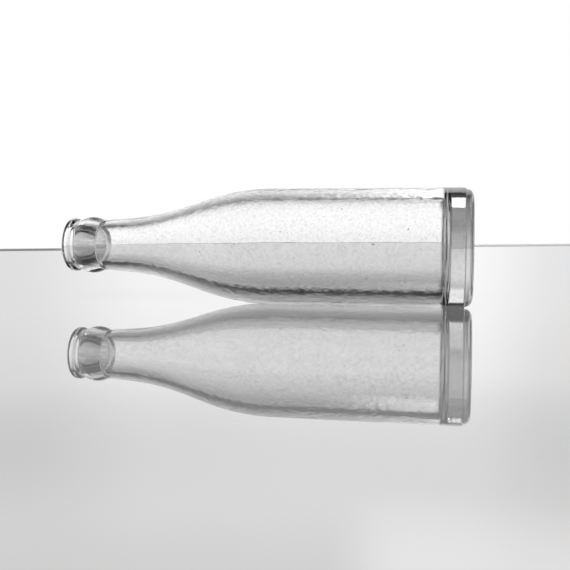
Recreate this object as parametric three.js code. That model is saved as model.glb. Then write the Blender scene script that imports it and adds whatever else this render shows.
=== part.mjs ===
// Crown-top soda bottle in heavy clear glass, lying on its side.
// Millimetres, +Z up. The bottle's axis lies along X, with the base towards +X and the mouth towards -X.
// The origin is on the surface that the bottle lies on, under the middle of its length.
import * as THREE from "three";

// Whole bottle
const OVERALL_LENGTH = 200;
const BODY_DIAMETER = 56.4;
const BODY_WALL = 5.6;

// Base: heel, bearing ring, push-up, and the flat floor of the cavity with its rounded corner.
// The heel is part of an ellipse, and steps out to the body at the base plate's parting line.
const BASE_HEIGHT = 20;
const HEEL_HEIGHT = 3.4;
const HEEL_RUN = 4.2;
const HEEL_STEP = 0.85;
const BEARING_RING_WIDTH = 3.9;
const PUSH_UP_DEPTH = 3;
const FLOOR_HEIGHT = 9.7;
const FLOOR_FLAT_RADIUS = 18;
const FLOOR_CORNER_RISE = 5.1;

// Shoulder: the ease is how far each end keeps its own direction before it turns into the sweep
const SHOULDER_LENGTH = 74.5;
const BODY_EASE = 34;
const NECK_EASE = 31.8;

// Neck: a short cone with an even wall
const NECK_LENGTH = 14;
const NECK_FOOT_DIAMETER = 27;
const NECK_TOP_DIAMETER = 24.8;
const NECK_WALL = 4.2;

// Collar: a rounded bead between the neck and the groove under the lip
const COLLAR_HEIGHT = 12.6;
const COLLAR_DIAMETER = 28.2;

// Lip: a crown finish with a flat sealing land on its end
const LIP_HEIGHT = 5.1;
const LIP_DIAMETER = 26.6;
const LIP_ROUNDING = 1.3;
const GROOVE_DEPTH = 0.95;
const GROOVE_HALF_WIDTH = 1.7;
const GROOVE_FLARE_HEIGHT = 2.3;
const MOUTH_BORE = 16;
const MOUTH_ROUNDING = 0.8;

// Facets round the axis. Their middles touch the true circle, so diameters are true across the flats.
const FACETS = 48;
const HALF_FACET = Math.PI / FACETS;
const ACROSS_CORNERS = 1 / Math.cos(HALF_FACET);

// Steps along each curve of a profile
const SWEEP_STEPS = 12;
const BOWL_STEPS = 7;
const BEAD_STEPS = 8;
const HEEL_STEPS = 4;
const ROUNDING_STEPS = 2;

// Heights above the base, along the axis
const lipTop = OVERALL_LENGTH;
const collarTop = lipTop - LIP_HEIGHT;
const neckTop = collarTop - COLLAR_HEIGHT;
const shoulderTop = neckTop - NECK_LENGTH;
const bodyTop = shoulderTop - SHOULDER_LENGTH;

// Radii from the axis
const bodyRadius = BODY_DIAMETER / 2;
const cavityRadius = bodyRadius - BODY_WALL;
const neckFootRadius = NECK_FOOT_DIAMETER / 2;
const neckTopRadius = NECK_TOP_DIAMETER / 2;
const neckFootBore = neckFootRadius - NECK_WALL;
const neckTopBore = neckTopRadius - NECK_WALL;
const collarRadius = COLLAR_DIAMETER / 2;
const lipRadius = LIP_DIAMETER / 2;
const grooveRadius = lipRadius - GROOVE_DEPTH;
const mouthRadius = MOUTH_BORE / 2;

// How much the neck's cone gains in radius for each millimetre towards the body
const neckTaper = (neckFootRadius - neckTopRadius) / NECK_LENGTH;

// A profile holds (radius, height) points: up the outside, in over the end and down the inside.
function revolve(profile) {
  const corners = profile.map((point) => new THREE.Vector2(point.x * ACROSS_CORNERS, point.y));
  return new THREE.LatheGeometry(corners, FACETS, HALF_FACET);
}

function glass(roughness) {
  return new THREE.MeshStandardMaterial({
    color: 0xe4e8e6,
    roughness,
    metalness: 0,
    transparent: true,
    opacity: 0.35,
  });
}

// One side of the shoulder's sweep, from the body's radius to the neck's, as a cubic curve
function shoulderCurve(bodySide, neckSide) {
  return new THREE.CubicBezierCurve(
    new THREE.Vector2(bodySide, bodyTop),
    new THREE.Vector2(bodySide, bodyTop + BODY_EASE),
    new THREE.Vector2(neckSide + neckTaper * NECK_EASE, shoulderTop - NECK_EASE),
    new THREE.Vector2(neckSide, shoulderTop),
  );
}

// Base: from the middle of the push-up, out over the bearing ring and heel, up the wall, and down to the floor
function baseProfile() {
  const plateRadius = bodyRadius - HEEL_STEP;
  const ringOuter = plateRadius - HEEL_RUN;
  const ringInner = ringOuter - BEARING_RING_WIDTH;
  const under = new THREE.Path();
  under.moveTo(0, PUSH_UP_DEPTH);
  under.quadraticCurveTo(ringInner / 2, PUSH_UP_DEPTH, ringInner, 0);
  under.lineTo(ringOuter, 0);
  const heel = new THREE.EllipseCurve(ringOuter, HEEL_HEIGHT, HEEL_RUN, HEEL_HEIGHT, -Math.PI / 2, 0);
  const floorCorner = new THREE.CubicBezierCurve(
    new THREE.Vector2(cavityRadius, FLOOR_HEIGHT + FLOOR_CORNER_RISE),
    new THREE.Vector2(cavityRadius, FLOOR_HEIGHT),
    new THREE.Vector2(FLOOR_FLAT_RADIUS, FLOOR_HEIGHT),
    new THREE.Vector2(0, FLOOR_HEIGHT),
  );
  return [
    ...under.getPoints(BOWL_STEPS),
    ...heel.getPoints(HEEL_STEPS).slice(1),
    new THREE.Vector2(bodyRadius, HEEL_HEIGHT + HEEL_STEP),
    new THREE.Vector2(bodyRadius, BASE_HEIGHT),
    new THREE.Vector2(cavityRadius, BASE_HEIGHT),
    ...floorCorner.getPoints(BOWL_STEPS),
  ];
}

function bodyProfile() {
  return [
    new THREE.Vector2(bodyRadius, BASE_HEIGHT),
    new THREE.Vector2(bodyRadius, bodyTop),
    new THREE.Vector2(cavityRadius, bodyTop),
    new THREE.Vector2(cavityRadius, BASE_HEIGHT),
    new THREE.Vector2(bodyRadius, BASE_HEIGHT),
  ];
}

function shoulderProfile() {
  const outside = shoulderCurve(bodyRadius, neckFootRadius).getPoints(SWEEP_STEPS);
  const inside = shoulderCurve(cavityRadius, neckFootBore).getPoints(SWEEP_STEPS).reverse();
  return [...outside, ...inside, outside[0]];
}

function neckProfile() {
  return [
    new THREE.Vector2(neckFootRadius, shoulderTop),
    new THREE.Vector2(neckTopRadius, neckTop),
    new THREE.Vector2(neckTopBore, neckTop),
    new THREE.Vector2(neckFootBore, shoulderTop),
    new THREE.Vector2(neckFootRadius, shoulderTop),
  ];
}

// Collar: the bead's crest is halfway up it, then the glass dips into the groove under the lip.
// The bore eases from the neck's to the mouth's.
function collarProfile() {
  const beadTop = collarTop - GROOVE_HALF_WIDTH;
  const beadTopRadius = (lipRadius + grooveRadius) / 2;
  const crestPull = 2 * collarRadius - (neckTopRadius + beadTopRadius) / 2;
  const bead = new THREE.QuadraticBezierCurve(
    new THREE.Vector2(neckTopRadius, neckTop),
    new THREE.Vector2(crestPull, (neckTop + beadTop) / 2),
    new THREE.Vector2(beadTopRadius, beadTop),
  ).getPoints(BEAD_STEPS);
  const intoGroove = new THREE.QuadraticBezierCurve(
    new THREE.Vector2(beadTopRadius, beadTop),
    new THREE.Vector2(grooveRadius, collarTop - GROOVE_HALF_WIDTH / 2),
    new THREE.Vector2(grooveRadius, collarTop),
  ).getPoints(ROUNDING_STEPS);
  return [
    ...bead,
    ...intoGroove.slice(1),
    new THREE.Vector2(mouthRadius, collarTop),
    new THREE.Vector2(neckTopBore, neckTop),
    bead[0],
  ];
}

// Lip: flares out of the groove to the locking ring, then rounds over to the sealing land and into the mouth
function lipProfile() {
  const flareTop = collarTop + GROOVE_FLARE_HEIGHT;
  const outline = new THREE.Path();
  outline.moveTo(grooveRadius, collarTop);
  outline.bezierCurveTo(
    grooveRadius,
    collarTop + GROOVE_FLARE_HEIGHT / 2,
    lipRadius,
    collarTop + GROOVE_FLARE_HEIGHT / 2,
    lipRadius,
    flareTop,
  );
  const landEdge = lipRadius - LIP_ROUNDING;
  const mouthEdge = mouthRadius + MOUTH_ROUNDING;
  const shoulderOfLip = new THREE.Path();
  shoulderOfLip.absarc(landEdge, lipTop - LIP_ROUNDING, LIP_ROUNDING, 0, Math.PI / 2);
  const intoMouth = new THREE.Path();
  intoMouth.absarc(mouthEdge, lipTop - MOUTH_ROUNDING, MOUTH_ROUNDING, Math.PI / 2, Math.PI);
  const start = new THREE.Vector2(grooveRadius, collarTop);
  return [
    ...outline.getPoints(2 * ROUNDING_STEPS),
    ...shoulderOfLip.getPoints(ROUNDING_STEPS),
    ...intoMouth.getPoints(ROUNDING_STEPS),
    new THREE.Vector2(mouthRadius, collarTop),
    start,
  ];
}

const bottle = new THREE.Group();
bottle.rotation.z = Math.PI / 2;
bottle.position.set(OVERALL_LENGTH / 2, 0, bodyRadius);

// Each zone of the glass, with how clear or hazy its surface looks
const zones = [
  ["base", baseProfile(), 0.08],
  ["body", bodyProfile(), 0.15],
  ["shoulder", shoulderProfile(), 0.08],
  ["neck", neckProfile(), 0.05],
  ["collar", collarProfile(), 0.05],
  ["sealing_lip", lipProfile(), 0.05],
];
for (const [name, profile, roughness] of zones) {
  const zone = new THREE.Mesh(revolve(profile), glass(roughness));
  zone.name = name;
  bottle.add(zone);
}

const part = new THREE.Group();
part.add(bottle);

export default part;
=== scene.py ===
"""Looks of a crown-top soda bottle in heavy clear glass, lying on a pale glossy table."""

import math

import bpy
from bpy.props import FloatProperty, FloatVectorProperty, IntProperty, PointerProperty
from bpy.types import Operator, Panel, PropertyGroup
from mathutils import Matrix, Vector
from mathutils.kdtree import KDTree


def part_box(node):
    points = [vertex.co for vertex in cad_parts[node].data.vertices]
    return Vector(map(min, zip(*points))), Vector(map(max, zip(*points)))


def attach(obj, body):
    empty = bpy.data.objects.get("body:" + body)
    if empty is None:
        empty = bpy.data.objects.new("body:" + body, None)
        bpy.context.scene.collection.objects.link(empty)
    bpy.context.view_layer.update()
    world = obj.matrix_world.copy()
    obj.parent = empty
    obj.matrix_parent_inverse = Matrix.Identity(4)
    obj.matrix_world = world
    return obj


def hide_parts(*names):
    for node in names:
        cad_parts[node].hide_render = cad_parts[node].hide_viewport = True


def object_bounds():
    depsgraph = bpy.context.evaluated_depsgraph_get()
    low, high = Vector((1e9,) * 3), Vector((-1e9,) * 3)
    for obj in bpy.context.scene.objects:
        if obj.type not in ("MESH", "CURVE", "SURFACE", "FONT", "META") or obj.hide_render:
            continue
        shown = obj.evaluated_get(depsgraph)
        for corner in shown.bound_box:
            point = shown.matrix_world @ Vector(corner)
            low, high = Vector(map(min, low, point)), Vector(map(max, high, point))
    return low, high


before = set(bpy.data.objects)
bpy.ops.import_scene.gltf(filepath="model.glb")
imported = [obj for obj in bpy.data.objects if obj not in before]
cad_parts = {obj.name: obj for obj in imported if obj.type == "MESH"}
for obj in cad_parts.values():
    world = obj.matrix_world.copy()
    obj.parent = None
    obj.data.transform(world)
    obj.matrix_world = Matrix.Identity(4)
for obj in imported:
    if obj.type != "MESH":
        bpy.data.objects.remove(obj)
CAD_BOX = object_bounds()

bl_info = {
    "name": "Crown-top soda bottle",
    "version": (1, 0, 0),
    "blender": (4, 5, 0),
    "location": "View3D > Sidebar > Bottle",
    "description": "Models a lying soda bottle in heavy clear glass, and the pale table under it",
    "category": "Object",
}

# The zones of the glass, from the base to the mouth, as the frame names them
GLASS_ZONES = ("base", "body", "shoulder", "neck", "collar", "sealing_lip")
PIECE_NAME = "bottle_glass"

# Where the bottle's axis lies, and the end that its heights are measured from
BASE_END = CAD_BOX[1].x
AXIS_HEIGHT = (CAD_BOX[0].z + CAD_BOX[1].z) / 2


def zone_length(zone):
    """How long a zone of the frame is, along the bottle's axis."""
    low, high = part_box(zone)
    return high.x - low.x


def zone_diameter(zone):
    """How wide a zone of the frame is, across its flats."""
    low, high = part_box(zone)
    return high.z - low.z


def size_property(name, description, default, precision=4):
    """A size in metres that a user can change."""
    return FloatProperty(
        name=name,
        description=description,
        default=default,
        unit="LENGTH",
        precision=precision,
    )


class BottleSizes(PropertyGroup):
    """Sizes of the glass, in metres"""

    body_diameter: size_property(
        "Body diameter", "Outside diameter of the straight body", zone_diameter("body")
    )
    body_wall: size_property(
        "Body wall", "Thickness of the glass in the body", 0.0062
    )
    base_height: size_property(
        "Base height", "From the bearing ring to the end of the base zone", zone_length("base")
    )
    body_length: size_property(
        "Body length", "Straight run between the base and the shoulder", zone_length("body")
    )
    shoulder_length: size_property(
        "Shoulder length", "Sweep between the body and the neck", zone_length("shoulder")
    )
    neck_length: size_property(
        "Neck length", "Short cone between the shoulder and the collar", zone_length("neck")
    )
    neck_foot_diameter: size_property(
        "Neck foot diameter", "Outside diameter where the neck leaves the shoulder", zone_diameter("neck")
    )
    neck_top_diameter: size_property(
        "Neck top diameter", "Outside diameter in the groove under the collar", 0.0248
    )
    neck_wall: size_property(
        "Neck wall", "Thickness of the glass in the neck", 0.0042
    )
    collar_height: size_property(
        "Collar height", "Length of the rounded bead under the lip", zone_length("collar")
    )
    collar_diameter: size_property(
        "Collar diameter", "Outside diameter at the crest of the bead", zone_diameter("collar")
    )
    lip_height: size_property(
        "Lip height", "From the groove under the lip to the sealing land", zone_length("sealing_lip")
    )
    lip_diameter: size_property(
        "Lip diameter", "Outside diameter of the locking ring", zone_diameter("sealing_lip")
    )
    mouth_bore: size_property(
        "Mouth bore", "Diameter of the mouth", 0.016
    )
    heel_run: size_property(
        "Heel run", "How far the rounded heel runs in from the base plate's edge to the bearing ring", 0.0042
    )
    push_up_depth: size_property(
        "Push-up depth", "How far the middle of the underside is pushed in", 0.003
    )
    floor_height: size_property(
        "Cavity floor height", "From the bearing ring to the middle of the cavity's floor", 0.0097
    )


class GlassLook(PropertyGroup):
    """Colour and surface of the glass"""

    colour: FloatVectorProperty(
        name="Glass colour",
        description="What the clear glass lets through",
        default=(1.0, 1.0, 1.0),
        subtype="COLOR",
        size=3,
        min=0.0,
        max=1.0,
    )
    refraction: FloatProperty(
        name="Index of refraction",
        description="Soda-lime glass is about 1.52",
        default=1.52,
    )
    depth_dimming: FloatProperty(
        name="Dimming with depth",
        description="How fast thick glass takes up light, per metre",
        default=13.0,
    )
    ripple: size_property(
        "Ripple", "How far the blown inner wall waves in and out", 0.00005, precision=5
    )
    facets: IntProperty(
        name="Steps round the axis",
        description="How many steps the profile is spun in",
        default=192,
        min=48,
    )


class StageLook(PropertyGroup):
    """Table, light and camera"""

    table_colour: FloatVectorProperty(
        name="Table colour",
        description="Colour of the pale table top",
        default=(0.40, 0.40, 0.40),
        subtype="COLOR",
        size=3,
        min=0.0,
        max=1.0,
    )
    camera_place: FloatVectorProperty(
        name="Camera place",
        description="Where the camera stands",
        default=(0.09259, -0.39995, 0.06759),
        subtype="TRANSLATION",
        size=3,
    )
    camera_turn: FloatProperty(
        name="Camera turn",
        description="Turn to the left of looking straight across the bottle",
        default=math.radians(11.59),
        subtype="ANGLE",
    )
    camera_tilt: FloatProperty(
        name="Camera tilt",
        description="Tilt down from level",
        default=math.radians(8.194),
        subtype="ANGLE",
    )
    camera_roll: FloatProperty(
        name="Camera roll",
        description="Lean of the camera about its own axis",
        default=math.radians(0.624),
        subtype="ANGLE",
    )
    camera_lens: FloatProperty(
        name="Camera lens",
        description="Focal length in millimetres on a 36 mm sensor",
        default=53.374,
    )


# Profile curves, as (height above the base, radius) in metres
def straight(start, end, steps):
    """Points from start up to, but without, end."""
    return [start.lerp(end, step / steps) for step in range(steps)]


def quadratic(start, pull, end, steps):
    """Quadratic curve from start up to, but without, end."""
    points = []
    for step in range(steps):
        share = step / steps
        points.append(start.lerp(pull, share).lerp(pull.lerp(end, share), share))
    return points


def cubic(start, pull_start, pull_end, end, steps):
    """Cubic curve from start up to, but without, end."""
    points = []
    for step in range(steps):
        share = step / steps
        first = start.lerp(pull_start, share)
        middle = pull_start.lerp(pull_end, share)
        last = pull_end.lerp(end, share)
        points.append(first.lerp(middle, share).lerp(middle.lerp(last, share), share))
    return points


def quarter_round(start, end, steps):
    """Quarter of an ellipse, ends and all, that leaves start along the axis and reaches end across it."""
    points = []
    for step in range(steps + 1):
        angle = math.pi / 2 * step / steps
        height = start.x + (end.x - start.x) * math.sin(angle)
        radius = end.y + (start.y - end.y) * math.cos(angle)
        points.append(Vector((height, radius)))
    return points


def softened(points, passes):
    """Rounds the corners of a run of points, and keeps its ends."""
    for _ in range(passes):
        middle = [
            points[i] * 0.5 + (points[i - 1] + points[i + 1]) * 0.25
            for i in range(1, len(points) - 1)
        ]
        points = [points[0], *middle, points[-1]]
    return points


def evenly_spaced(points, spacing):
    """The same run of points, set out again about spacing apart."""
    travelled = [0.0]
    for before, after in zip(points, points[1:]):
        travelled.append(travelled[-1] + (after - before).length)
    count = max(2, round(travelled[-1] / spacing))
    placed = []
    index = 0
    for step in range(count + 1):
        target = travelled[-1] * step / count
        while index < len(points) - 2 and travelled[index + 1] < target:
            index += 1
        run = travelled[index + 1] - travelled[index]
        share = (target - travelled[index]) / run if run else 0.0
        placed.append(points[index].lerp(points[index + 1], min(1.0, share)))
    return placed


# Base: the heel steps out to the body at the base plate's parting line
BEARING_RING_WIDTH = 0.0039
HEEL_HEIGHT = 0.0034
HEEL_STEP = 0.00085
STEP_RISE = 0.00051
STEP_SHORT = 0.000085
BODY_START = 0.00595

# Floor of the cavity, and the corner that it turns into the wall with
FLOOR_FLAT_RADIUS = 0.018
FLOOR_CORNER_HEIGHT = 0.0148
FLOOR_CORNER_DEPTH = 0.0048

# Shoulder: how far each end keeps its own direction before it turns into the sweep
BODY_EASE = 0.034
NECK_EASE = 0.0318

# Lip, and the V-shaped groove between it and the collar
LIP_ROUNDING = 0.0013
LIP_START_RUN = LIP_ROUNDING / 3
GROOVE_DEPTH = 0.00098
GROOVE_HALF_WIDTH = 0.0017
GROOVE_OFFSET = 0.0007
FLARE_RUN = 0.0009
FLARE_SHORT = GROOVE_DEPTH / 8

# Mouth and bore: the bore is pressed, a little wider in its middle, down to where the blown neck starts
MOUTH_ROUNDING = 0.0008
BORE_EDGE_RISE = 0.0018
BORE_FLARE_RUN = 0.0016
BORE_FLARE = 0.0007
BORE_BARREL = 0.00035

# Distance between points of the finished profile
HEEL_SPACING = 0.0002
FINISH_SPACING = 0.00032
BORE_SPACING = 0.00048
WALL_SPACING = 0.002
SOFTENING_PASSES = 1

# Steps along each curve
PUSH_UP_STEPS = 40
RING_STEPS = 8
HEEL_STEPS = 32
NECK_STEPS = 30
BEAD_STEPS = 60
GROOVE_STEPS = 30
LIP_STEPS = 12
LAND_STEPS = 6
MOUTH_STEPS = 8
BARREL_STEPS = 24
FLOOR_STEPS = 24
EXTRA_SWEEP_STEPS = 6


def glass_heights(sizes):
    """Heights above the base at which the zones meet, up to the lip."""
    body_top = sizes.base_height + sizes.body_length
    shoulder_top = body_top + sizes.shoulder_length
    neck_top = shoulder_top + sizes.neck_length
    collar_top = neck_top + sizes.collar_height
    return body_top, shoulder_top, neck_top, collar_top, collar_top + sizes.lip_height


def underside(sizes):
    """Push-up, bearing ring and heel, up to where the straight body starts."""
    body_radius = sizes.body_diameter / 2
    plate_radius = body_radius - HEEL_STEP
    ring_outer = Vector((0.0, plate_radius - sizes.heel_run))
    ring_inner = Vector((0.0, ring_outer.y - BEARING_RING_WIDTH))
    middle = Vector((sizes.push_up_depth, 0.0))
    pull = Vector((sizes.push_up_depth, ring_inner.y / 2))
    push_up = quadratic(middle, pull, ring_inner, PUSH_UP_STEPS)
    ring = straight(ring_inner, ring_outer, RING_STEPS)
    heel = quarter_round(Vector((HEEL_HEIGHT, plate_radius)), ring_outer, HEEL_STEPS)[::-1]
    step_out = Vector((HEEL_HEIGHT + STEP_RISE, body_radius - STEP_SHORT))
    body_start = Vector((BODY_START, body_radius))
    flat = evenly_spaced(push_up + ring + heel[:1], FINISH_SPACING)
    round_side = evenly_spaced(heel + [step_out, body_start], HEEL_SPACING)
    return softened(flat + round_side[1:], SOFTENING_PASSES)


def sweep(sizes, body_side, neck_side, steps):
    """One side of the shoulder, from the body to the neck."""
    body_top, shoulder_top = glass_heights(sizes)[:2]
    taper = (sizes.neck_foot_diameter - sizes.neck_top_diameter) / 2 / sizes.neck_length
    return cubic(
        Vector((body_top, body_side)),
        Vector((body_top + BODY_EASE, body_side)),
        Vector((shoulder_top - NECK_EASE, neck_side + taper * NECK_EASE)),
        Vector((shoulder_top, neck_side)),
        steps,
    )


def land_middle(sizes):
    """The middle of the sealing land, where the outside turns into the inside."""
    return Vector((glass_heights(sizes)[-1], (sizes.lip_diameter + sizes.mouth_bore) / 4))


def finish_outside(sizes):
    """Neck, collar, groove and lip, from the shoulder to the middle of the sealing land."""
    _, shoulder_top, neck_top, collar_top, lip_top = glass_heights(sizes)
    lip_radius = sizes.lip_diameter / 2
    neck_foot = Vector((shoulder_top, sizes.neck_foot_diameter / 2))
    neck_end = Vector((neck_top, sizes.neck_top_diameter / 2))
    bead_end = Vector((collar_top - GROOVE_HALF_WIDTH, lip_radius - GROOVE_DEPTH / 2))
    crest_pull = sizes.collar_diameter - (neck_end.y + bead_end.y) / 2
    bead_pull = Vector(((neck_top + bead_end.x) / 2, crest_pull))
    groove_bottom = Vector((collar_top + GROOVE_OFFSET, lip_radius - GROOVE_DEPTH))
    groove_pull = Vector((collar_top - GROOVE_HALF_WIDTH / 2, groove_bottom.y))
    flare_end = Vector((groove_bottom.x + FLARE_RUN, lip_radius - FLARE_SHORT))
    lip_start = Vector((flare_end.x + LIP_START_RUN, lip_radius))
    lip_edge = Vector((lip_top - LIP_ROUNDING, lip_radius))
    land_edge = Vector((lip_top, lip_radius - LIP_ROUNDING))
    rounding = quarter_round(lip_edge, land_edge, LIP_STEPS)
    run = (
        straight(neck_foot, neck_end, NECK_STEPS)
        + quadratic(neck_end, bead_pull, bead_end, BEAD_STEPS)
        + quadratic(bead_end, groove_pull, groove_bottom, GROOVE_STEPS)
        + [groove_bottom, flare_end, lip_start, *rounding, land_middle(sizes)]
    )
    return softened(evenly_spaced(run, FINISH_SPACING), SOFTENING_PASSES)


def finish_inside(sizes):
    """From the middle of the sealing land into the mouth, and down the bore to the shoulder."""
    _, shoulder_top, neck_top, collar_top, lip_top = glass_heights(sizes)
    mouth_radius = sizes.mouth_bore / 2
    land_edge = Vector((lip_top, mouth_radius + MOUTH_ROUNDING))
    mouth_edge = Vector((lip_top - MOUTH_ROUNDING, mouth_radius))
    rounding = quarter_round(mouth_edge, land_edge, MOUTH_STEPS)[::-1]
    near_land = straight(land_middle(sizes), land_edge, LAND_STEPS) + rounding
    mouth = softened(evenly_spaced(near_land, FINISH_SPACING), SOFTENING_PASSES)
    bore_top = Vector((collar_top, mouth_radius))
    bore_edge = Vector((neck_top + BORE_EDGE_RISE, mouth_radius))
    bore_neck = Vector((bore_edge.x - BORE_FLARE_RUN, mouth_radius + BORE_FLARE))
    bore_foot = Vector((shoulder_top, sizes.neck_foot_diameter / 2 - sizes.neck_wall))
    barrel = Vector(((bore_top.x + bore_edge.x) / 2, mouth_radius + 2 * BORE_BARREL))
    pressed = quadratic(bore_top, barrel, bore_edge, BARREL_STEPS)
    return mouth[1:] + evenly_spaced(pressed + [bore_edge, bore_neck, bore_foot], BORE_SPACING)


def cavity_floor(sizes, cavity_radius):
    """Rounded corner and floor of the cavity, from its wall to its middle."""
    middle = Vector((sizes.floor_height, 0.0))
    corner = cubic(
        Vector((FLOOR_CORNER_HEIGHT, cavity_radius)),
        Vector((FLOOR_CORNER_HEIGHT - FLOOR_CORNER_DEPTH, cavity_radius)),
        Vector((sizes.floor_height, FLOOR_FLAT_RADIUS)),
        middle,
        FLOOR_STEPS,
    )
    return corner + [middle]


def bottle_profile(sizes):
    """The two sides of the glass, from the push-up's middle to the mouth and back to the floor's middle."""
    body_top = glass_heights(sizes)[0]
    body_radius = sizes.body_diameter / 2
    cavity_radius = body_radius - sizes.body_wall
    neck_radius = sizes.neck_foot_diameter / 2
    sweep_steps = round(sizes.shoulder_length / WALL_SPACING) + EXTRA_SWEEP_STEPS
    under = underside(sizes)
    wall_steps = round((body_top - under[-1].x) / WALL_SPACING)
    wall = straight(under[-1], Vector((body_top, body_radius)), wall_steps)
    outer_sweep = sweep(sizes, body_radius, neck_radius, sweep_steps)
    inner_sweep = sweep(sizes, cavity_radius, neck_radius - sizes.neck_wall, sweep_steps)[::-1]
    inner_steps = round((body_top - FLOOR_CORNER_HEIGHT) / WALL_SPACING)
    wall_top = Vector((body_top, cavity_radius))
    wall_foot = Vector((FLOOR_CORNER_HEIGHT, cavity_radius))
    inner_wall = straight(wall_top, wall_foot, inner_steps)
    outside = under + wall[1:] + outer_sweep + finish_outside(sizes)
    inside = finish_inside(sizes) + inner_sweep + inner_wall[1:] + cavity_floor(sizes, cavity_radius)
    return outside, inside


def deselect_all():
    """Leaves edit mode and clears the selection."""
    if bpy.context.object and bpy.context.object.mode != "OBJECT":
        bpy.ops.object.mode_set(mode="OBJECT")
    bpy.ops.object.select_all(action="DESELECT")


# Size of the plane that is merged into the profile's first point, and how near points have to be to merge
FIRST_POINT_SIZE = 0.001
MERGE_DISTANCE = 1e-6


def spin_profile(name, points, steps):
    """Draws the profile one point at a time, as a run of edges, and spins it round the bottle's axis."""
    deselect_all()
    bpy.ops.mesh.primitive_plane_add(size=FIRST_POINT_SIZE, location=(0.0, 0.0, 0.0))
    piece = bpy.context.object
    piece.name = name
    piece.data.name = name
    places = [Vector((BASE_END - point.x, 0.0, AXIS_HEIGHT + point.y)) for point in points]
    bpy.ops.object.mode_set(mode="EDIT")
    bpy.ops.mesh.select_mode(type="VERT")
    bpy.ops.mesh.select_all(action="SELECT")
    bpy.ops.mesh.merge(type="CENTER")
    bpy.ops.transform.translate(value=places[0])
    for before, after in zip(places, places[1:]):
        bpy.ops.mesh.extrude_region_move(TRANSFORM_OT_translate={"value": after - before})
    bpy.ops.mesh.select_all(action="SELECT")
    bpy.ops.mesh.spin(
        steps=steps,
        angle=2 * math.pi,
        center=(0.0, 0.0, AXIS_HEIGHT),
        axis=(1.0, 0.0, 0.0),
        use_auto_merge=True,
    )
    bpy.ops.mesh.select_all(action="SELECT")
    bpy.ops.mesh.remove_doubles(threshold=MERGE_DISTANCE)
    bpy.ops.mesh.select_all(action="SELECT")
    bpy.ops.mesh.normals_make_consistent(inside=False)
    bpy.ops.object.mode_set(mode="OBJECT")
    return piece


# The mould's two halves meet in a pair of fine raised seams, from the heel up to the collar
SEAM_ANGLES = (math.radians(151.875), math.radians(331.875))
SEAM_ANGLE_TOLERANCE = 0.001
SEAM_HALF_WIDTH = 0.00045
SEAM_HEIGHT = 0.00006


def wall_middle(sizes, height):
    """A radius between the outer and the inner side of the wall, at a height above the base."""
    body_top, shoulder_top = glass_heights(sizes)[:2]
    body_middle = (sizes.body_diameter - sizes.body_wall) / 2
    neck_middle = (sizes.neck_top_diameter - sizes.neck_wall) / 2
    share = min(1.0, max(0.0, (height - body_top) / (shoulder_top - body_top)))
    return body_middle + (neck_middle - body_middle) * share


def select_seam(piece, sizes, angle, low, high):
    """Selects the outer vertices on one line along the bottle, between two heights above the base."""
    for vertex in piece.data.vertices:
        height = BASE_END - vertex.co.x
        across = Vector((vertex.co.y, vertex.co.z - AXIS_HEIGHT))
        turned = math.atan2(-across.x, across.y) % (2 * math.pi)
        on_line = abs(turned - angle) < SEAM_ANGLE_TOLERANCE and low < height < high
        vertex.select = on_line and across.length > wall_middle(sizes, height)


def raise_seams(piece, sizes):
    """Bevels a line of edges along the glass and lifts its middle, for each seam."""
    low = BODY_START
    high = glass_heights(sizes)[2]
    for angle in SEAM_ANGLES:
        outward = Vector((0.0, -math.sin(angle), math.cos(angle)))
        bpy.ops.object.mode_set(mode="EDIT")
        bpy.ops.mesh.select_all(action="DESELECT")
        bpy.ops.object.mode_set(mode="OBJECT")
        select_seam(piece, sizes, angle, low, high)
        bpy.ops.object.mode_set(mode="EDIT")
        bpy.ops.mesh.bevel(offset=SEAM_HALF_WIDTH, segments=2, affect="EDGES")
        bpy.ops.mesh.select_all(action="DESELECT")
        bpy.ops.object.mode_set(mode="OBJECT")
        select_seam(piece, sizes, angle, low + SEAM_HALF_WIDTH, high - SEAM_HALF_WIDTH)
        bpy.ops.object.mode_set(mode="EDIT")
        bpy.ops.transform.translate(value=outward * SEAM_HEIGHT)
    bpy.ops.object.mode_set(mode="OBJECT")


# Vertex groups and the mesh attribute that tell the two sides of the glass apart
OUTER_GROUP = "outside"
INNER_GROUP = "inside"
INNER_SIDE = "inner_side"
# How far from the mouth the inner side's own shape comes in fully
MOUTH_CALM_LENGTH = 0.10


def group_sides(piece, outside, inside):
    """Vertex groups for the outer and the inner side, the inner one fading out towards the mouth."""
    tree = KDTree(len(outside) + len(inside))
    for index, point in enumerate(outside + inside):
        tree.insert((point.x, point.y, 0.0), index)
    tree.balance()
    top = max(point.x for point in outside)
    inner = piece.vertex_groups.new(name=INNER_GROUP)
    outer = piece.vertex_groups.new(name=OUTER_GROUP)
    for vertex in piece.data.vertices:
        height = BASE_END - vertex.co.x
        radius = math.hypot(vertex.co.y, vertex.co.z - AXIS_HEIGHT)
        nearest = tree.find((height, radius, 0.0))[1]
        if nearest < len(outside):
            outer.add([vertex.index], 1.0, "REPLACE")
        else:
            inner.add([vertex.index], min(1.0, (top - height) / MOUTH_CALM_LENGTH), "REPLACE")


# The cavity sits a little off centre, so the wall is thicker underneath and thinner on top
CAVITY_RISE = 0.0006


def raise_cavity(piece):
    """Lifts the inner side of the glass, less and less towards the mouth."""
    modifier = piece.modifiers.new("cavity_rise", "DISPLACE")
    modifier.direction = "Z"
    modifier.vertex_group = INNER_GROUP
    modifier.mid_level = 0.0
    modifier.strength = CAVITY_RISE
    bpy.ops.object.modifier_apply(modifier=modifier.name)


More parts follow.
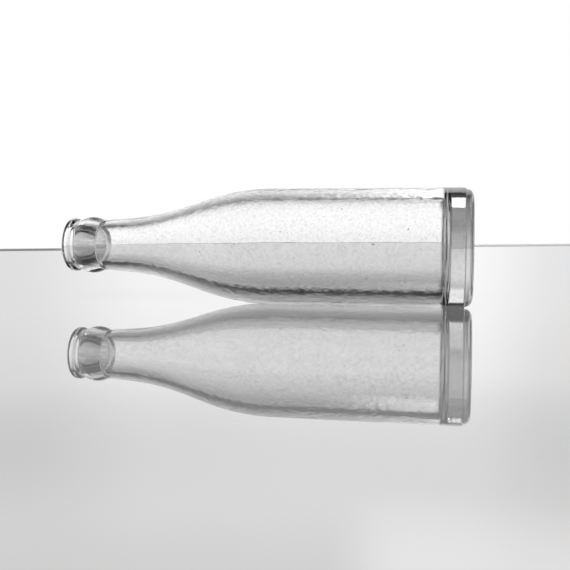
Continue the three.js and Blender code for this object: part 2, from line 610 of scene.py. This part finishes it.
# Ripples of the glass: name, side, grain in metres, and share of the ripple's depth
RIPPLES = (
    ("inner_swell", INNER_GROUP, 0.022, 1.0),
    ("inner_ripple", INNER_GROUP, 0.005, 0.35),
    ("outer_swell", OUTER_GROUP, 0.030, 0.15),
)


def ripple_glass(piece, look):
    """Pushes each side of the glass in and out by soft cloud patterns, and applies them."""
    for name, group, grain, share in RIPPLES:
        texture = bpy.data.textures.new(name, "CLOUDS")
        texture.noise_scale = grain
        texture.noise_depth = 1
        modifier = piece.modifiers.new(name, "DISPLACE")
        modifier.texture = texture
        modifier.texture_coords = "LOCAL"
        modifier.vertex_group = group
        modifier.mid_level = 0.5
        modifier.strength = share * look.ripple
        bpy.ops.object.modifier_apply(modifier=modifier.name)


def mark_inside(piece):
    """Keeps the inner side as an attribute of the mesh, for the material."""
    inner = piece.vertex_groups[INNER_GROUP].index
    mark = piece.data.attributes.new(INNER_SIDE, "FLOAT", "POINT")
    for vertex in piece.data.vertices:
        is_inside = any(group.group == inner for group in vertex.groups)
        mark.data[vertex.index].value = 1.0 if is_inside else 0.0


# Edges that turn less than this are shaded smooth
SMOOTH_ANGLE = math.radians(50)


class OBJECT_OT_bottle_glass(Operator):
    """Model the glass of the bottle as one spun piece"""

    bl_idname = "object.bottle_glass"
    bl_label = "Bottle glass"

    def execute(self, context):
        sizes = context.scene.bottle_sizes
        look = context.scene.bottle_look
        outside, inside = bottle_profile(sizes)
        piece = spin_profile(PIECE_NAME, outside + inside, look.facets)
        raise_seams(piece, sizes)
        group_sides(piece, outside, inside)
        raise_cavity(piece)
        ripple_glass(piece, look)
        bpy.ops.object.shade_smooth_by_angle(angle=SMOOTH_ANGLE)
        mark_inside(piece)
        piece.data.materials.append(glass_material(look))
        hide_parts(*GLASS_ZONES)
        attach(piece, "root")
        return {"FINISHED"}


# Nodes that the materials and the room share
def math_node(tree, operation, *inputs):
    """A Math node, with each input a number or another node's output."""
    node = tree.nodes.new("ShaderNodeMath")
    node.operation = operation
    for socket, value in zip(node.inputs, inputs):
        if isinstance(value, (int, float)):
            socket.default_value = value
        else:
            tree.links.new(value, socket)
    return node.outputs[0]


def product(tree, first, *others):
    """The values multiplied together, each a number or another node's output."""
    result = first
    for value in others:
        result = math_node(tree, "MULTIPLY", result, value)
    return result


def noise_node(tree, place, pattern):
    """A noise pattern on Object coordinates, from its grains to the metre and its detail."""
    noise = tree.nodes.new("ShaderNodeTexNoise")
    noise.inputs["Scale"].default_value, noise.inputs["Detail"].default_value = pattern
    tree.links.new(place.outputs["Object"], noise.inputs["Vector"])
    return noise.outputs["Fac"]


def edge_on_node(tree):
    """How edge-on the surface is seen, from 0 straight on to 1 along it."""
    weight = tree.nodes.new("ShaderNodeLayerWeight")
    weight.inputs["Blend"].default_value = 0.5
    return weight.outputs["Facing"]


def rise_node(tree, value, rise):
    """A smooth step from 0 to 1 between the two values of rise."""
    step = tree.nodes.new("ShaderNodeMapRange")
    step.interpolation_type = "SMOOTHSTEP"
    step.inputs["From Min"].default_value, step.inputs["From Max"].default_value = rise
    tree.links.new(value, step.inputs["Value"])
    return step.outputs["Result"]


def along_axis(tree, place):
    """Where a point is along the bottle, towards the base."""
    split = tree.nodes.new("ShaderNodeSeparateXYZ")
    tree.links.new(place.outputs["Object"], split.inputs["Vector"])
    return split.outputs["X"]


def mixed_colour(tree, share, first, second):
    """The first colour, turning into the second as share goes from 0 to 1."""
    mix = tree.nodes.new("ShaderNodeMix")
    mix.data_type = "RGBA"
    mix.inputs["A"].default_value = (*first, 1.0)
    mix.inputs["B"].default_value = (*second, 1.0)
    tree.links.new(share, mix.inputs["Factor"])
    return mix


def brightness_ramp(tree, value, stops, interpolation="EASE"):
    """A grey level that follows value through the given (position, level) stops."""
    ramp = tree.nodes.new("ShaderNodeValToRGB")
    ramp.color_ramp.interpolation = interpolation
    elements = ramp.color_ramp.elements
    for element, (position, level) in zip(elements, (stops[0], stops[-1])):
        element.position = position
        element.color = (level, level, level, 1.0)
    for position, level in stops[1:-1]:
        elements.new(position).color = (level, level, level, 1.0)
    tree.links.new(value, ramp.inputs["Fac"])
    return ramp.outputs["Color"]


# Skin of the glass: patterns as grains to the metre and detail, and depths in metres
OUTER_WAVE = (45.0, 1.0)
OUTER_WAVE_DEPTH = 0.00002
INNER_MOTTLE = (400.0, 2.0)
INNER_MOTTLE_DEPTH = 0.000005
INNER_HAZE = 0.05
# The blown wall's crinkle shows where the wall is seen edge-on, and ends along X before the floor
INNER_CRINKLE = (360.0, 3.0)
INNER_CRINKLE_DEPTH = 0.00024
CRINKLE_RISE = (0.12, 0.34)
CRINKLE_END = (0.086, 0.078)
# Fine specks all over, with painted shade added to them where the glass is seen edge-on, and seeds scattered
# all over
SPECKS = (800.0, 4.0)
SPECK_RISE = (0.48, 0.70)
SPECK_SHADE = 0.15
SPECK_FACE_ON = 0.16
EDGE_ON_PAINTED_SHADE = 0.60
EDGE_SHADE_RISE = (0.28, 0.75)
SEED_GRAIN = 95.0
SEED_SIZE = 0.035
# Painted shade along the cavity's wall where it is seen edge-on, and sooner at its floor, which starts
# between these places along X
RIM_RISE = (0.70, 0.95)
RIM_PATCHES = (300.0, 3.0)
RIM_PATCH_RISE = (0.38, 0.56)
RIM_LEAST = 0.30
RIM_SHADE = 0.01
FLOOR_RIM_RISE = (0.20, 0.55)
FLOOR_RIM_START = (0.083, 0.086)
# The pressed bore's skin, between these places along X, is greyed by painted shade, with fine streaks along
# the bore
PRESSED_START = (-0.0953, -0.0948)
PRESSED_END = (-0.0838, -0.0843)
PRESSED_STRETCH = (60.0, 700.0, 700.0)
PRESSED_LEAST = 0.42
PRESSED_MORE = 0.72


def glass_material(look):
    """Clear old glass: it dims with depth, waves a little, is hazy inside, and carries specks and seeds, with
    painted shade at its edges and in the bore.
    """
    material = bpy.data.materials.new("clear_bottle_glass")
    material.use_nodes = True
    tree = material.node_tree
    shader = tree.nodes["Principled BSDF"]
    shader.inputs["IOR"].default_value = look.refraction
    shader.inputs["Transmission Weight"].default_value = 1.0
    place = tree.nodes.new("ShaderNodeTexCoord")
    side = tree.nodes.new("ShaderNodeAttribute")
    side.attribute_name = INNER_SIDE
    inner = side.outputs["Fac"]
    mottle = noise_node(tree, place, INNER_MOTTLE)
    tree.links.new(skin_normal(tree, place, inner, mottle), shader.inputs["Normal"])
    tree.links.new(skin_colour(tree, place, inner, look), shader.inputs["Base Color"])
    tree.links.new(product(tree, mottle, INNER_HAZE, inner), shader.inputs["Roughness"])
    depth = tree.nodes.new("ShaderNodeVolumeAbsorption")
    depth.inputs["Color"].default_value = (0.0, 0.0, 0.0, 1.0)
    depth.inputs["Density"].default_value = look.depth_dimming
    tree.links.new(depth.outputs["Volume"], tree.nodes["Material Output"].inputs["Volume"])
    return material


def skin_normal(tree, place, inner, mottle):
    """Slow waves all over, with a fine mottle and the crinkle on the inner side."""
    wave_height = product(tree, noise_node(tree, place, OUTER_WAVE), OUTER_WAVE_DEPTH)
    mottle_height = product(tree, mottle, INNER_MOTTLE_DEPTH)
    blown_height = math_node(tree, "ADD", mottle_height, crinkle_height(tree, place))
    height = math_node(tree, "ADD", wave_height, product(tree, blown_height, inner))
    bump = tree.nodes.new("ShaderNodeBump")
    bump.inputs["Strength"].default_value = 1.0
    bump.inputs["Distance"].default_value = 1.0
    tree.links.new(height, bump.inputs["Height"])
    return bump.outputs["Normal"]


def crinkle_height(tree, place):
    """The blown wall's crinkled skin, which only tells where the wall is seen edge-on."""
    folds = noise_node(tree, place, INNER_CRINKLE)
    seen = rise_node(tree, edge_on_node(tree), CRINKLE_RISE)
    off_floor = rise_node(tree, along_axis(tree, place), CRINKLE_END)
    return product(tree, folds, INNER_CRINKLE_DEPTH, seen, off_floor)


def pressed_streaks_and_shade(tree, place, inner):
    """Painted shade with fine streaks along the pressed bore, between the mouth and the edge where the blown
    neck starts.
    """
    spot = along_axis(tree, place)
    after = rise_node(tree, spot, PRESSED_START)
    before = rise_node(tree, spot, PRESSED_END)
    stretch = tree.nodes.new("ShaderNodeMapping")
    stretch.inputs["Scale"].default_value = PRESSED_STRETCH
    tree.links.new(place.outputs["Object"], stretch.inputs["Vector"])
    streaks = tree.nodes.new("ShaderNodeTexNoise")
    streaks.inputs["Scale"].default_value = 1.0
    tree.links.new(stretch.outputs["Vector"], streaks.inputs["Vector"])
    # painted shade: the bore is greyed by at least PRESSED_LEAST, more along the streaks
    shade = math_node(tree, "MULTIPLY_ADD", streaks.outputs["Fac"], PRESSED_MORE, PRESSED_LEAST)
    return product(tree, shade, after, before, inner)


def painted_rim_shade(tree, place, inner):
    """How much painted shade darkens the glass where the cavity is seen along its surface, in uneven patches.
    """
    wall = rise_node(tree, edge_on_node(tree), RIM_RISE)
    floor = rise_node(tree, edge_on_node(tree), FLOOR_RIM_RISE)
    at_floor = rise_node(tree, along_axis(tree, place), FLOOR_RIM_START)
    along = math_node(tree, "MAXIMUM", wall, product(tree, floor, at_floor))
    patches = rise_node(tree, noise_node(tree, place, RIM_PATCHES), RIM_PATCH_RISE)
    uneven = math_node(tree, "MULTIPLY_ADD", patches, 1.0 - RIM_LEAST, RIM_LEAST)
    return product(tree, along, inner, uneven)


def skin_colour(tree, place, inner, look):
    """Clear glass with fine specks and a few dark seeds, plus painted shade: more specks where seen edge-on,
    the bore's grey streaks and dark rims.
    """
    specks = rise_node(tree, noise_node(tree, place, SPECKS), SPECK_RISE)
    # painted shade: the specks grow darker and denser where the glass is seen edge-on
    edge_on_shade = rise_node(tree, edge_on_node(tree), EDGE_SHADE_RISE)
    weight = math_node(tree, "MULTIPLY_ADD", edge_on_shade, EDGE_ON_PAINTED_SHADE, SPECK_FACE_ON)
    cells = tree.nodes.new("ShaderNodeTexVoronoi")
    cells.inputs["Scale"].default_value = SEED_GRAIN
    tree.links.new(place.outputs["Object"], cells.inputs["Vector"])
    seeds = math_node(tree, "LESS_THAN", cells.outputs["Distance"], SEED_SIZE)
    specks_and_shade = math_node(tree, "MAXIMUM", product(tree, specks, weight), pressed_streaks_and_shade(tree, place, inner))
    share = math_node(tree, "MAXIMUM", specks_and_shade, seeds)
    specked_and_shaded = mixed_colour(tree, share, look.colour, [SPECK_SHADE * level for level in look.colour])
    # painted shade: near-black rims where the cavity is seen along its surface
    rim_shaded = mixed_colour(tree, painted_rim_shade(tree, place, inner), look.colour, [RIM_SHADE] * 3)
    tree.links.new(specked_and_shaded.outputs["Result"], rim_shaded.inputs["A"])
    return rim_shaded.outputs["Result"]


# Share of the table's light that is a mirror image, by how edge-on it is seen
TABLE_MIRROR = (
    (0.0, 0.0), (0.13, 0.0), (0.19, 0.055), (0.38, 0.06), (0.55, 0.16), (0.62, 0.26), (0.70, 0.42),
    (0.76, 0.52), (0.84, 0.605), (1.0, 0.71),
)
TABLE_MIRROR_COLOUR = (0.97, 0.97, 0.97, 1.0)
TABLE_MIRROR_ROUGHNESS = 0.012
# Painted shade and sheen on the table's soft base, by how edge-on it is seen: it is darkest from straight
# above
TABLE_PAINTED_SHADE_AND_SHEEN = (
    (0.0, 0.07), (0.15, 0.09), (0.22, 0.29), (0.30, 0.68), (0.38, 1.0), (0.60, 1.0), (0.74, 0.50),
    (1.0, 0.40),
)


def table_material(stage):
    """Pale table top: a soft base with painted shade and sheen by viewing angle, darkest from straight above,
    under a clear skin that mirrors more when seen edge-on.
    """
    material = bpy.data.materials.new("pale_table_top")
    material.use_nodes = True
    tree = material.node_tree
    tree.nodes.remove(tree.nodes["Principled BSDF"])
    paint = tree.nodes.new("ShaderNodeMix")
    paint.data_type = "RGBA"
    paint.blend_type = "MULTIPLY"
    paint.inputs["Factor"].default_value = 1.0
    paint.inputs["A"].default_value = (*stage.table_colour, 1.0)
    # painted shade and sheen: the base colour changes with viewing angle and is darkest from straight above
    tree.links.new(brightness_ramp(tree, edge_on_node(tree), TABLE_PAINTED_SHADE_AND_SHEEN), paint.inputs["B"])
    soft = tree.nodes.new("ShaderNodeBsdfDiffuse")
    tree.links.new(paint.outputs["Result"], soft.inputs["Color"])
    mirror = tree.nodes.new("ShaderNodeBsdfGlossy")
    mirror.inputs["Color"].default_value = TABLE_MIRROR_COLOUR
    mirror.inputs["Roughness"].default_value = TABLE_MIRROR_ROUGHNESS
    mix = tree.nodes.new("ShaderNodeMixShader")
    tree.links.new(brightness_ramp(tree, edge_on_node(tree), TABLE_MIRROR, "LINEAR"), mix.inputs["Fac"])
    tree.links.new(soft.outputs["BSDF"], mix.inputs[1])
    tree.links.new(mirror.outputs["BSDF"], mix.inputs[2])
    tree.links.new(mix.outputs["Shader"], tree.nodes["Material Output"].inputs["Surface"])
    return material


# The low strip along the table's far edge is darker to the left, and turns pale between these places along X
EDGING_FADE = (-0.235, -0.215)
EDGING_SHADE = ((0.0, 0.26), (1.0, 0.66))
EDGING_ROUGHNESS = 0.6


def edging_material():
    """Grey edging that fades along its length."""
    material = bpy.data.materials.new("grey_edging")
    material.use_nodes = True
    tree = material.node_tree
    shader = tree.nodes["Principled BSDF"]
    shader.inputs["Roughness"].default_value = EDGING_ROUGHNESS
    place = tree.nodes.new("ShaderNodeTexCoord")
    fade = rise_node(tree, along_axis(tree, place), EDGING_FADE)
    tree.links.new(brightness_ramp(tree, fade, EDGING_SHADE), shader.inputs["Base Color"])
    return material


# The table's far edge, as the direction that it faces and its distance from the bottle
TABLE_TURN = math.radians(10.53)
TABLE_FAR_EDGE = 0.2797
TABLE_NEAR_EDGE = -1.6
TABLE_HALF_WIDTH = 1.6
EDGING_WIDTH = 0.004
EDGING_HEIGHT = 0.0016


def lay_on_table(obj, name, size, middle):
    """Gives a unit primitive its size and its distance from the bottle, and turns it with the table."""
    obj.name = name
    bpy.ops.object.mode_set(mode="EDIT")
    bpy.ops.mesh.select_all(action="SELECT")
    bpy.ops.transform.resize(value=size)
    bpy.ops.transform.translate(value=(0.0, middle, 0.0))
    bpy.ops.object.mode_set(mode="OBJECT")
    obj.rotation_euler = (0.0, 0.0, TABLE_TURN)
    bpy.ops.object.transform_apply(location=True, rotation=True, scale=True)


def make_table(stage):
    """A wide table top whose far edge lies behind the bottle."""
    deselect_all()
    bpy.ops.mesh.primitive_plane_add(size=1.0, location=(0.0, 0.0, 0.0))
    table = bpy.context.object
    size = (2 * TABLE_HALF_WIDTH, TABLE_FAR_EDGE - TABLE_NEAR_EDGE, 1.0)
    lay_on_table(table, "table_top", size, (TABLE_FAR_EDGE + TABLE_NEAR_EDGE) / 2)
    table.data.materials.append(table_material(stage))
    return table


def make_edging():
    """A low grey strip along the table's far edge, which doesn't show through the glass."""
    deselect_all()
    bpy.ops.mesh.primitive_cube_add(size=1.0, location=(0.0, 0.0, 0.0))
    strip = bpy.context.object
    size = (2 * TABLE_HALF_WIDTH, EDGING_WIDTH, EDGING_HEIGHT)
    lay_on_table(strip, "table_edging", size, TABLE_FAR_EDGE + EDGING_WIDTH / 2)
    strip.data.materials.append(edging_material())
    strip.visible_transmission = False


# How bright the room is, by the sine of the height above the horizon
ROOM_BOTTOM = -0.10
ROOM_BY_HEIGHT = (
    (-0.09, 0.85), (0.0, 0.97), (0.12, 1.0), (0.24, 1.0), (0.36, 0.77), (0.50, 0.52), (0.745, 0.42),
    (0.765, 0.075), (1.0, 0.056),
)
# How bright it is by the turn, as a share of a whole turn: one half is straight behind the bottle
DIM = 0.06
HALF_DIM = 0.55
ROOM_STRENGTH = 1.45
ROOM_BY_TURN = (
    (0.0, DIM), (0.185, DIM), (0.205, 1.0), (0.297, 1.0), (0.33, HALF_DIM), (0.385, 0.62), (0.417, 0.75),
    (0.445, 0.94), (0.472, 1.0), (0.50, 1.0), (0.52, 0.80), (0.542, 0.68), (0.60, HALF_DIM), (0.70, HALF_DIM),
    (0.72, DIM), (0.798, DIM), (0.82, 1.0), (0.93, 1.0), (0.952, DIM), (1.0, DIM),
)
# A pale panel behind the base, higher up: its share of the room's light by height and by turn
PANEL_BY_HEIGHT = ((0.36, 0.0), (0.46, 0.60), (0.72, 0.84), (0.745, 0.0))
PANEL_BY_TURN = ((0.475, 0.0), (0.49, 1.0), (0.55, 1.0), (0.58, 0.0))


def room_level(tree):
    """How bright the room is in each direction."""
    place = tree.nodes.new("ShaderNodeTexCoord")
    split = tree.nodes.new("ShaderNodeSeparateXYZ")
    tree.links.new(place.outputs["Generated"], split.inputs["Vector"])
    sine = split.outputs["Z"]
    span = 1.0 - ROOM_BOTTOM
    above_bottom = math_node(tree, "MULTIPLY_ADD", sine, 1.0 / span, -ROOM_BOTTOM / span)
    stops = [((height - ROOM_BOTTOM) / span, level) for height, level in ROOM_BY_HEIGHT]
    by_height = brightness_ramp(tree, above_bottom, stops, "LINEAR")
    turn = math_node(tree, "ARCTAN2", split.outputs["X"], split.outputs["Y"])
    turn_share = math_node(tree, "MULTIPLY_ADD", turn, 0.5 / math.pi, 0.5)
    room = product(tree, by_height, brightness_ramp(tree, turn_share, ROOM_BY_TURN))
    panel_height = brightness_ramp(tree, sine, PANEL_BY_HEIGHT)
    panel = product(tree, panel_height, brightness_ramp(tree, turn_share, PANEL_BY_TURN))
    return math_node(tree, "ADD", room, panel)


def make_world():
    """A pale room that glass and gloss see, brightest near the horizon, while the camera sees plain white."""
    world = bpy.data.worlds.new("pale_room")
    bpy.context.scene.world = world
    world.use_nodes = True
    tree = world.node_tree
    tree.nodes.clear()
    room = tree.nodes.new("ShaderNodeBackground")
    room.inputs["Strength"].default_value = ROOM_STRENGTH
    tree.links.new(room_level(tree), room.inputs["Color"])
    white = tree.nodes.new("ShaderNodeBackground")
    white.inputs["Color"].default_value = (1.0, 1.0, 1.0, 1.0)
    rays = tree.nodes.new("ShaderNodeLightPath")
    mix = tree.nodes.new("ShaderNodeMixShader")
    tree.links.new(rays.outputs["Is Camera Ray"], mix.inputs["Fac"])
    tree.links.new(room.outputs["Background"], mix.inputs[1])
    tree.links.new(white.outputs["Background"], mix.inputs[2])
    output = tree.nodes.new("ShaderNodeOutputWorld")
    tree.links.new(mix.outputs["Shader"], output.inputs["Surface"])
    world.cycles_visibility.diffuse = False


# Lamps: place and size in metres, and power in watts
BACK_LAMP = ((0.17, 2.40, 2.05), (0.67, 0.73), 70.0)
KEY_LAMP = ((-0.25, -1.40, 1.95), (0.7, 0.7), 20.0)
FILL_LAMP = ((-0.25, -1.40, 1.95), (0.7, 0.7), 73.0)


def make_lamp(name, place, size, power):
    """A soft rectangular lamp that looks at the bottle, out of the camera's sight and of the glass's."""
    deselect_all()
    bpy.ops.object.light_add(type="AREA", location=place)
    lamp = bpy.context.object
    lamp.name = name
    lamp.data.shape = "RECTANGLE"
    lamp.data.size, lamp.data.size_y = size
    lamp.data.energy = power
    aim = Vector((0.0, 0.0, AXIS_HEIGHT)) - Vector(place)
    lamp.rotation_euler = aim.to_track_quat("-Z", "Y").to_euler()
    lamp.visible_camera = False
    lamp.visible_transmission = False
    return lamp


def make_lamps(table):
    """A back lamp that the table mirrors, a key lamp that casts the shadow, and a fill lamp for the light
    that reaches the table through the glass."""
    table_only = bpy.data.collections.new("table_only")
    table_only.objects.link(table)
    back = make_lamp("back_lamp", *BACK_LAMP)
    back.visible_diffuse = False
    back.light_linking.receiver_collection = table_only
    key = make_lamp("key_lamp", *KEY_LAMP)
    key.visible_glossy = False
    fill = make_lamp("fill_lamp", *FILL_LAMP)
    fill.visible_glossy = False
    fill.light_linking.blocker_collection = table_only


# The photograph's frame sits one pixel higher than the lens's middle
PHOTO_PIXELS = 570
SHIFT_PIXELS = 1
SENSOR_WIDTH = 36.0


def make_camera(stage):
    """The camera at the photograph's viewing angle."""
    data = bpy.data.cameras.new("photo_camera")
    camera = bpy.data.objects.new("photo_camera", data)
    bpy.context.scene.collection.objects.link(camera)
    data.sensor_width = SENSOR_WIDTH
    data.lens = stage.camera_lens
    data.shift_y = SHIFT_PIXELS / PHOTO_PIXELS
    turn, tilt, roll = stage.camera_turn, stage.camera_tilt, stage.camera_roll
    forward = Vector((
        -math.sin(turn) * math.cos(tilt),
        math.cos(turn) * math.cos(tilt),
        -math.sin(tilt),
    ))
    level_right = Vector((math.cos(turn), math.sin(turn), 0.0))
    level_up = level_right.cross(forward)
    right = level_right * math.cos(roll) - level_up * math.sin(roll)
    up = level_right * math.sin(roll) + level_up * math.cos(roll)
    pose = Matrix((right, up, -forward)).transposed().to_4x4()
    pose.translation = Vector(stage.camera_place)
    camera.matrix_world = pose
    bpy.context.scene.camera = camera


# How often light may turn in the glass, and on the table
GLASS_BOUNCES = 32
GLOSSY_BOUNCES = 12


class SCENE_OT_bottle_stage(Operator):
    """Lay the table, light it and set the camera"""

    bl_idname = "scene.bottle_stage"
    bl_label = "Table, light and camera"

    def execute(self, context):
        stage = context.scene.bottle_stage
        context.scene.view_settings.view_transform = "Standard"
        table = make_table(stage)
        make_edging()
        make_world()
        make_lamps(table)
        make_camera(stage)
        context.scene.cycles.max_bounces = GLASS_BOUNCES
        context.scene.cycles.transmission_bounces = GLASS_BOUNCES
        context.scene.cycles.glossy_bounces = GLOSSY_BOUNCES
        return {"FINISHED"}


class VIEW3D_PT_bottle(Panel):
    """Lists the bottle's sizes and the steps that build it"""

    bl_label = "Soda bottle"
    bl_idname = "VIEW3D_PT_bottle"
    bl_space_type = "VIEW_3D"
    bl_region_type = "UI"
    bl_category = "Bottle"

    def draw(self, context):
        layout = self.layout
        scene = context.scene
        for group in (scene.bottle_sizes, scene.bottle_look, scene.bottle_stage):
            column = layout.column(align=True)
            for name in group.__annotations__:
                column.prop(group, name)
        layout.operator(OBJECT_OT_bottle_glass.bl_idname)
        layout.operator(SCENE_OT_bottle_stage.bl_idname)


CLASSES = (
    BottleSizes,
    GlassLook,
    StageLook,
    OBJECT_OT_bottle_glass,
    SCENE_OT_bottle_stage,
    VIEW3D_PT_bottle,
)


def register():
    for cls in CLASSES:
        bpy.utils.register_class(cls)
    bpy.types.Scene.bottle_sizes = PointerProperty(type=BottleSizes)
    bpy.types.Scene.bottle_look = PointerProperty(type=GlassLook)
    bpy.types.Scene.bottle_stage = PointerProperty(type=StageLook)


def unregister():
    del bpy.types.Scene.bottle_stage
    del bpy.types.Scene.bottle_look
    del bpy.types.Scene.bottle_sizes
    for cls in reversed(CLASSES):
        bpy.utils.unregister_class(cls)


def main():
    register()
    bpy.ops.object.bottle_glass()
    bpy.ops.scene.bottle_stage()


if __name__ == "__main__":
    main()
